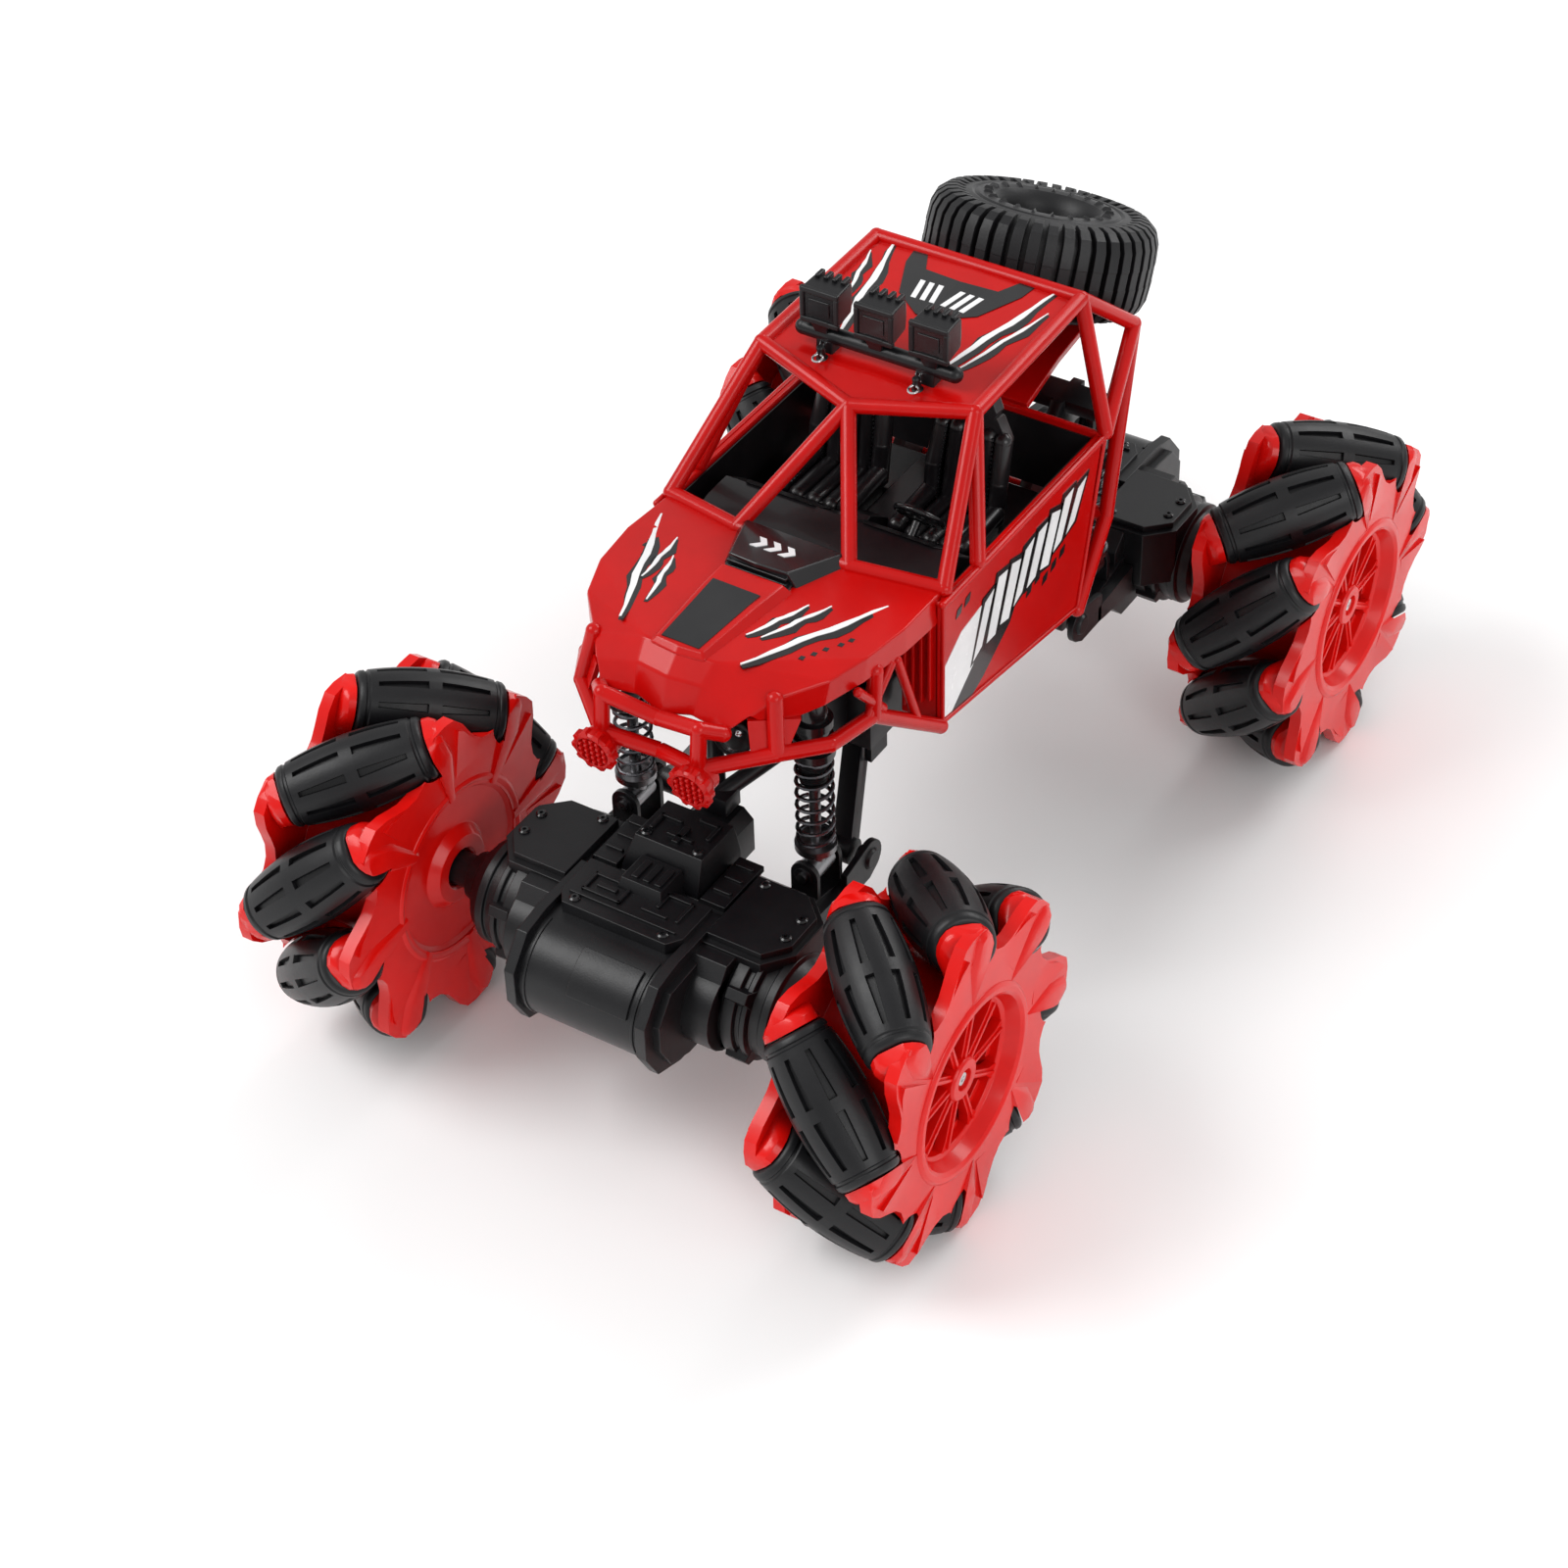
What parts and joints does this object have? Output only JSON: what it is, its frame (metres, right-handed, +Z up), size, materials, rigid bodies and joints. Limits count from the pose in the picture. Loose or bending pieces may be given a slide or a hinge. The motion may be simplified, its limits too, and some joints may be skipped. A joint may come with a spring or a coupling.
{
  "type": "rc monster truck",
  "caption": "Radio-controlled buggy-bodied truck on tall sprung axles; each wheel carries slanted rollers that spin freely for sideways driving.",
  "frame": {"origin": "on the ground, midway between the four wheels, at the middle of the bounding box's bottom", "axes": "+Z up, +Y towards the tail, -Y the way the nose points, +X the vehicle's left side"},
  "size_m": [0.1668, 0.275, 0.1553],
  "materials": {
    "red_body": "gloss",
    "red_wheel": "gloss",
    "black_plastic": "satin",
    "black_interior": "satin",
    "tyre_rubber": "matte",
    "roller_rubber": "matte",
    "shock_black": "gloss",
    "shock_steel": "satin",
    "spring_steel": "gloss",
    "motor_steel": "satin",
    "battery_wrap": "gloss",
    "board_green": "satin",
    "sticker_white": "gloss",
    "sticker_black": "gloss",
    "bright_metal": "gloss"
  },
  "bodies": {
    "chassis": {"chassis_tub": "black_plastic", "body_shell": "red_body", "roll_cage": "red_body", "interior_tray": "black_interior", "light_bar": "black_plastic", "spare_tyre": "tyre_rubber", "battery_pack": "battery_wrap", "circuit_board": "board_green", "shock_cylinders": "shock_black", "shock_springs": "spring_steel"},
    "front_yoke": {"front_yoke": "black_plastic"},
    "front_axle": {"front_axle_housing": "black_plastic", "front_motors": "motor_steel"},
    "front_upper_arm": {"front_upper_arm": "black_plastic"},
    "front_links": {"front_links": "black_plastic"},
    "front_shock_rod_left": {"front_shock_rod_left": "shock_steel"},
    "front_shock_rod_right": {"front_shock_rod_right": "shock_steel"},
    "rear_yoke": {"rear_yoke": "black_plastic"},
    "rear_axle": {"rear_axle_housing": "black_plastic", "rear_motors": "motor_steel"},
    "rear_upper_arm": {"rear_upper_arm": "black_plastic"},
    "rear_links": {"rear_links": "black_plastic"},
    "rear_shock_rod_left": {"rear_shock_rod_left": "shock_steel"},
    "rear_shock_rod_right": {"rear_shock_rod_right": "shock_steel"},
    "wheel_hub_front_left": {"wheel_hub_front_left": "red_wheel"},
    "wheel_hub_front_right": {"wheel_hub_front_right": "red_wheel"},
    "wheel_hub_rear_left": {"wheel_hub_rear_left": "red_wheel"},
    "wheel_hub_rear_right": {"wheel_hub_rear_right": "red_wheel"},
    "roller_front_left_1": {"roller_front_left_1": "roller_rubber"},
    "roller_front_left_2": {"roller_front_left_2": "roller_rubber"},
    "roller_front_left_3": {"roller_front_left_3": "roller_rubber"},
    "roller_front_left_4": {"roller_front_left_4": "roller_rubber"},
    "roller_front_left_5": {"roller_front_left_5": "roller_rubber"},
    "roller_front_left_6": {"roller_front_left_6": "roller_rubber"},
    "roller_front_left_7": {"roller_front_left_7": "roller_rubber"},
    "roller_front_left_8": {"roller_front_left_8": "roller_rubber"},
    "roller_front_right_1": {"roller_front_right_1": "roller_rubber"},
    "roller_front_right_2": {"roller_front_right_2": "roller_rubber"},
    "roller_front_right_3": {"roller_front_right_3": "roller_rubber"},
    "roller_front_right_4": {"roller_front_right_4": "roller_rubber"},
    "roller_front_right_5": {"roller_front_right_5": "roller_rubber"},
    "roller_front_right_6": {"roller_front_right_6": "roller_rubber"},
    "roller_front_right_7": {"roller_front_right_7": "roller_rubber"},
    "roller_front_right_8": {"roller_front_right_8": "roller_rubber"},
    "roller_rear_left_1": {"roller_rear_left_1": "roller_rubber"},
    "roller_rear_left_2": {"roller_rear_left_2": "roller_rubber"},
    "roller_rear_left_3": {"roller_rear_left_3": "roller_rubber"},
    "roller_rear_left_4": {"roller_rear_left_4": "roller_rubber"},
    "roller_rear_left_5": {"roller_rear_left_5": "roller_rubber"},
    "roller_rear_left_6": {"roller_rear_left_6": "roller_rubber"},
    "roller_rear_left_7": {"roller_rear_left_7": "roller_rubber"},
    "roller_rear_left_8": {"roller_rear_left_8": "roller_rubber"},
    "roller_rear_right_1": {"roller_rear_right_1": "roller_rubber"},
    "roller_rear_right_2": {"roller_rear_right_2": "roller_rubber"},
    "roller_rear_right_3": {"roller_rear_right_3": "roller_rubber"},
    "roller_rear_right_4": {"roller_rear_right_4": "roller_rubber"},
    "roller_rear_right_5": {"roller_rear_right_5": "roller_rubber"},
    "roller_rear_right_6": {"roller_rear_right_6": "roller_rubber"},
    "roller_rear_right_7": {"roller_rear_right_7": "roller_rubber"},
    "roller_rear_right_8": {"roller_rear_right_8": "roller_rubber"}
  },
  "joints": [
    {"name": "front_axle_travel", "type": "slide", "parent": "chassis", "child": "front_yoke", "axis": [0, 0, 1], "range_m": [-0.004, 0.005], "stiffness_N_per_m": 500, "springref_m": -0.0032, "deforming": ["shock_springs"]},
    {"name": "front_axle_roll", "type": "hinge", "parent": "front_yoke", "child": "front_axle", "pos_m": [0, -0.0715, 0.054], "axis": [0, 1, 0], "range_deg": [-7, 7], "stiffness_Nm_per_rad": 0.3, "deforming": ["shock_springs"]},
    {"name": "front_shock_rod_left_pivot", "type": "hinge", "parent": "front_axle", "child": "front_shock_rod_left", "pos_m": [0.024, -0.063, 0.054], "axis": [0, 1, 0], "range_deg": [-7.5, 7.5]},
    {"name": "front_shock_rod_right_pivot", "type": "hinge", "parent": "front_axle", "child": "front_shock_rod_right", "pos_m": [-0.024, -0.063, 0.054], "axis": [0, 1, 0], "range_deg": [-7.5, 7.5]},
    {"name": "front_links_swing", "type": "hinge", "parent": "chassis", "child": "front_links", "pos_m": [0, -0.029, 0.062], "axis": [-1, 0, 0], "range_deg": [-12, 15]},
    {"name": "front_upper_arm_swing", "type": "hinge", "parent": "chassis", "child": "front_upper_arm", "pos_m": [0, -0.047, 0.076], "axis": [-1, 0, 0], "range_deg": [-13, 16]},
    {"name": "rear_axle_travel", "type": "slide", "parent": "chassis", "child": "rear_yoke", "axis": [0, 0, 1], "range_m": [-0.004, 0.005], "stiffness_N_per_m": 500, "springref_m": -0.0032, "deforming": ["shock_springs"]},
    {"name": "rear_axle_roll", "type": "hinge", "parent": "rear_yoke", "child": "rear_axle", "pos_m": [0, 0.0715, 0.054], "axis": [0, 1, 0], "range_deg": [-7, 7], "stiffness_Nm_per_rad": 0.3, "deforming": ["shock_springs"]},
    {"name": "rear_shock_rod_left_pivot", "type": "hinge", "parent": "rear_axle", "child": "rear_shock_rod_left", "pos_m": [0.024, 0.063, 0.054], "axis": [0, 1, 0], "range_deg": [-7.5, 7.5]},
    {"name": "rear_shock_rod_right_pivot", "type": "hinge", "parent": "rear_axle", "child": "rear_shock_rod_right", "pos_m": [-0.024, 0.063, 0.054], "axis": [0, 1, 0], "range_deg": [-7.5, 7.5]},
    {"name": "rear_links_swing", "type": "hinge", "parent": "chassis", "child": "rear_links", "pos_m": [0, 0.029, 0.062], "axis": [1, 0, 0], "range_deg": [-12, 15]},
    {"name": "rear_upper_arm_swing", "type": "hinge", "parent": "chassis", "child": "rear_upper_arm", "pos_m": [0, 0.047, 0.076], "axis": [1, 0, 0], "range_deg": [-13, 16]},
    {"name": "drive_wheel_front_left", "type": "hinge", "parent": "front_axle", "child": "wheel_hub_front_left", "pos_m": [0.067, -0.095, 0.04269], "axis": [1, 0, 0], "continuous": true},
    {"name": "drive_wheel_front_right", "type": "hinge", "parent": "front_axle", "child": "wheel_hub_front_right", "pos_m": [-0.067, -0.095, 0.04269], "axis": [1, 0, 0], "continuous": true},
    {"name": "drive_wheel_rear_left", "type": "hinge", "parent": "rear_axle", "child": "wheel_hub_rear_left", "pos_m": [0.067, 0.095, 0.04269], "axis": [1, 0, 0], "continuous": true},
    {"name": "drive_wheel_rear_right", "type": "hinge", "parent": "rear_axle", "child": "wheel_hub_rear_right", "pos_m": [-0.067, 0.095, 0.04269], "axis": [1, 0, 0], "continuous": true},
    {"name": "roller_front_left_1_spin", "type": "hinge", "parent": "wheel_hub_front_left", "child": "roller_front_left_1", "pos_m": [0.067, -0.08199, 0.01128], "axis": [0.7071, 0.6533, 0.2706], "continuous": true},
    {"name": "roller_front_left_2_spin", "type": "hinge", "parent": "wheel_hub_front_left", "child": "roller_front_left_2", "pos_m": [0.067, -0.06359, 0.02968], "axis": [0.7071, 0.2706, 0.6533], "continuous": true},
    {"name": "roller_front_left_3_spin", "type": "hinge", "parent": "wheel_hub_front_left", "child": "roller_front_left_3", "pos_m": [0.067, -0.06359, 0.0557], "axis": [0.7071, -0.2706, 0.6533], "continuous": true},
    {"name": "roller_front_left_4_spin", "type": "hinge", "parent": "wheel_hub_front_left", "child": "roller_front_left_4", "pos_m": [0.067, -0.08199, 0.0741], "axis": [0.7071, -0.6533, 0.2706], "continuous": true},
    {"name": "roller_front_left_5_spin", "type": "hinge", "parent": "wheel_hub_front_left", "child": "roller_front_left_5", "pos_m": [0.067, -0.10801, 0.0741], "axis": [0.7071, -0.6533, -0.2706], "continuous": true},
    {"name": "roller_front_left_6_spin", "type": "hinge", "parent": "wheel_hub_front_left", "child": "roller_front_left_6", "pos_m": [0.067, -0.12641, 0.0557], "axis": [0.7071, -0.2706, -0.6533], "continuous": true},
    {"name": "roller_front_left_7_spin", "type": "hinge", "parent": "wheel_hub_front_left", "child": "roller_front_left_7", "pos_m": [0.067, -0.12641, 0.02968], "axis": [0.7071, 0.2706, -0.6533], "continuous": true},
    {"name": "roller_front_left_8_spin", "type": "hinge", "parent": "wheel_hub_front_left", "child": "roller_front_left_8", "pos_m": [0.067, -0.10801, 0.01128], "axis": [0.7071, 0.6533, -0.2706], "continuous": true},
    {"name": "roller_front_right_1_spin", "type": "hinge", "parent": "wheel_hub_front_right", "child": "roller_front_right_1", "pos_m": [-0.067, -0.10801, 0.01128], "axis": [-0.7071, 0.6533, -0.2706], "continuous": true},
    {"name": "roller_front_right_2_spin", "type": "hinge", "parent": "wheel_hub_front_right", "child": "roller_front_right_2", "pos_m": [-0.067, -0.12641, 0.02968], "axis": [-0.7071, 0.2706, -0.6533], "continuous": true},
    {"name": "roller_front_right_3_spin", "type": "hinge", "parent": "wheel_hub_front_right", "child": "roller_front_right_3", "pos_m": [-0.067, -0.12641, 0.0557], "axis": [-0.7071, -0.2706, -0.6533], "continuous": true},
    {"name": "roller_front_right_4_spin", "type": "hinge", "parent": "wheel_hub_front_right", "child": "roller_front_right_4", "pos_m": [-0.067, -0.10801, 0.0741], "axis": [-0.7071, -0.6533, -0.2706], "continuous": true},
    {"name": "roller_front_right_5_spin", "type": "hinge", "parent": "wheel_hub_front_right", "child": "roller_front_right_5", "pos_m": [-0.067, -0.08199, 0.0741], "axis": [-0.7071, -0.6533, 0.2706], "continuous": true},
    {"name": "roller_front_right_6_spin", "type": "hinge", "parent": "wheel_hub_front_right", "child": "roller_front_right_6", "pos_m": [-0.067, -0.06359, 0.0557], "axis": [-0.7071, -0.2706, 0.6533], "continuous": true},
    {"name": "roller_front_right_7_spin", "type": "hinge", "parent": "wheel_hub_front_right", "child": "roller_front_right_7", "pos_m": [-0.067, -0.06359, 0.02968], "axis": [-0.7071, 0.2706, 0.6533], "continuous": true},
    {"name": "roller_front_right_8_spin", "type": "hinge", "parent": "wheel_hub_front_right", "child": "roller_front_right_8", "pos_m": [-0.067, -0.08199, 0.01128], "axis": [-0.7071, 0.6533, 0.2706], "continuous": true},
    {"name": "roller_rear_left_1_spin", "type": "hinge", "parent": "wheel_hub_rear_left", "child": "roller_rear_left_1", "pos_m": [0.067, 0.10801, 0.01128], "axis": [0.7071, -0.6533, -0.2706], "continuous": true},
    {"name": "roller_rear_left_2_spin", "type": "hinge", "parent": "wheel_hub_rear_left", "child": "roller_rear_left_2", "pos_m": [0.067, 0.12641, 0.02968], "axis": [0.7071, -0.2706, -0.6533], "continuous": true},
    {"name": "roller_rear_left_3_spin", "type": "hinge", "parent": "wheel_hub_rear_left", "child": "roller_rear_left_3", "pos_m": [0.067, 0.12641, 0.0557], "axis": [0.7071, 0.2706, -0.6533], "continuous": true},
    {"name": "roller_rear_left_4_spin", "type": "hinge", "parent": "wheel_hub_rear_left", "child": "roller_rear_left_4", "pos_m": [0.067, 0.10801, 0.0741], "axis": [0.7071, 0.6533, -0.2706], "continuous": true},
    {"name": "roller_rear_left_5_spin", "type": "hinge", "parent": "wheel_hub_rear_left", "child": "roller_rear_left_5", "pos_m": [0.067, 0.08199, 0.0741], "axis": [0.7071, 0.6533, 0.2706], "continuous": true},
    {"name": "roller_rear_left_6_spin", "type": "hinge", "parent": "wheel_hub_rear_left", "child": "roller_rear_left_6", "pos_m": [0.067, 0.06359, 0.0557], "axis": [0.7071, 0.2706, 0.6533], "continuous": true},
    {"name": "roller_rear_left_7_spin", "type": "hinge", "parent": "wheel_hub_rear_left", "child": "roller_rear_left_7", "pos_m": [0.067, 0.06359, 0.02968], "axis": [0.7071, -0.2706, 0.6533], "continuous": true},
    {"name": "roller_rear_left_8_spin", "type": "hinge", "parent": "wheel_hub_rear_left", "child": "roller_rear_left_8", "pos_m": [0.067, 0.08199, 0.01128], "axis": [0.7071, -0.6533, 0.2706], "continuous": true},
    {"name": "roller_rear_right_1_spin", "type": "hinge", "parent": "wheel_hub_rear_right", "child": "roller_rear_right_1", "pos_m": [-0.067, 0.08199, 0.01128], "axis": [-0.7071, -0.6533, 0.2706], "continuous": true},
    {"name": "roller_rear_right_2_spin", "type": "hinge", "parent": "wheel_hub_rear_right", "child": "roller_rear_right_2", "pos_m": [-0.067, 0.06359, 0.02968], "axis": [-0.7071, -0.2706, 0.6533], "continuous": true},
    {"name": "roller_rear_right_3_spin", "type": "hinge", "parent": "wheel_hub_rear_right", "child": "roller_rear_right_3", "pos_m": [-0.067, 0.06359, 0.0557], "axis": [-0.7071, 0.2706, 0.6533], "continuous": true},
    {"name": "roller_rear_right_4_spin", "type": "hinge", "parent": "wheel_hub_rear_right", "child": "roller_rear_right_4", "pos_m": [-0.067, 0.08199, 0.0741], "axis": [-0.7071, 0.6533, 0.2706], "continuous": true},
    {"name": "roller_rear_right_5_spin", "type": "hinge", "parent": "wheel_hub_rear_right", "child": "roller_rear_right_5", "pos_m": [-0.067, 0.10801, 0.0741], "axis": [-0.7071, 0.6533, -0.2706], "continuous": true},
    {"name": "roller_rear_right_6_spin", "type": "hinge", "parent": "wheel_hub_rear_right", "child": "roller_rear_right_6", "pos_m": [-0.067, 0.12641, 0.0557], "axis": [-0.7071, 0.2706, -0.6533], "continuous": true},
    {"name": "roller_rear_right_7_spin", "type": "hinge", "parent": "wheel_hub_rear_right", "child": "roller_rear_right_7", "pos_m": [-0.067, 0.12641, 0.02968], "axis": [-0.7071, -0.2706, -0.6533], "continuous": true},
    {"name": "roller_rear_right_8_spin", "type": "hinge", "parent": "wheel_hub_rear_right", "child": "roller_rear_right_8", "pos_m": [-0.067, 0.10801, 0.01128], "axis": [-0.7071, -0.6533, -0.2706], "continuous": true}
  ],
  "couplings": [
    {"joint": "front_shock_rod_left_pivot", "follows": "front_axle_roll", "ratio": -1},
    {"joint": "front_shock_rod_right_pivot", "follows": "front_axle_roll", "ratio": -1},
    {"joint": "front_links_swing", "follows": "front_axle_travel", "rad_per_m": 48.78},
    {"joint": "front_upper_arm_swing", "follows": "front_axle_travel", "rad_per_m": 54.054},
    {"joint": "rear_shock_rod_left_pivot", "follows": "rear_axle_roll", "ratio": -1},
    {"joint": "rear_shock_rod_right_pivot", "follows": "rear_axle_roll", "ratio": -1},
    {"joint": "rear_links_swing", "follows": "rear_axle_travel", "rad_per_m": 48.78},
    {"joint": "rear_upper_arm_swing", "follows": "rear_axle_travel", "rad_per_m": 54.054}
  ]
}
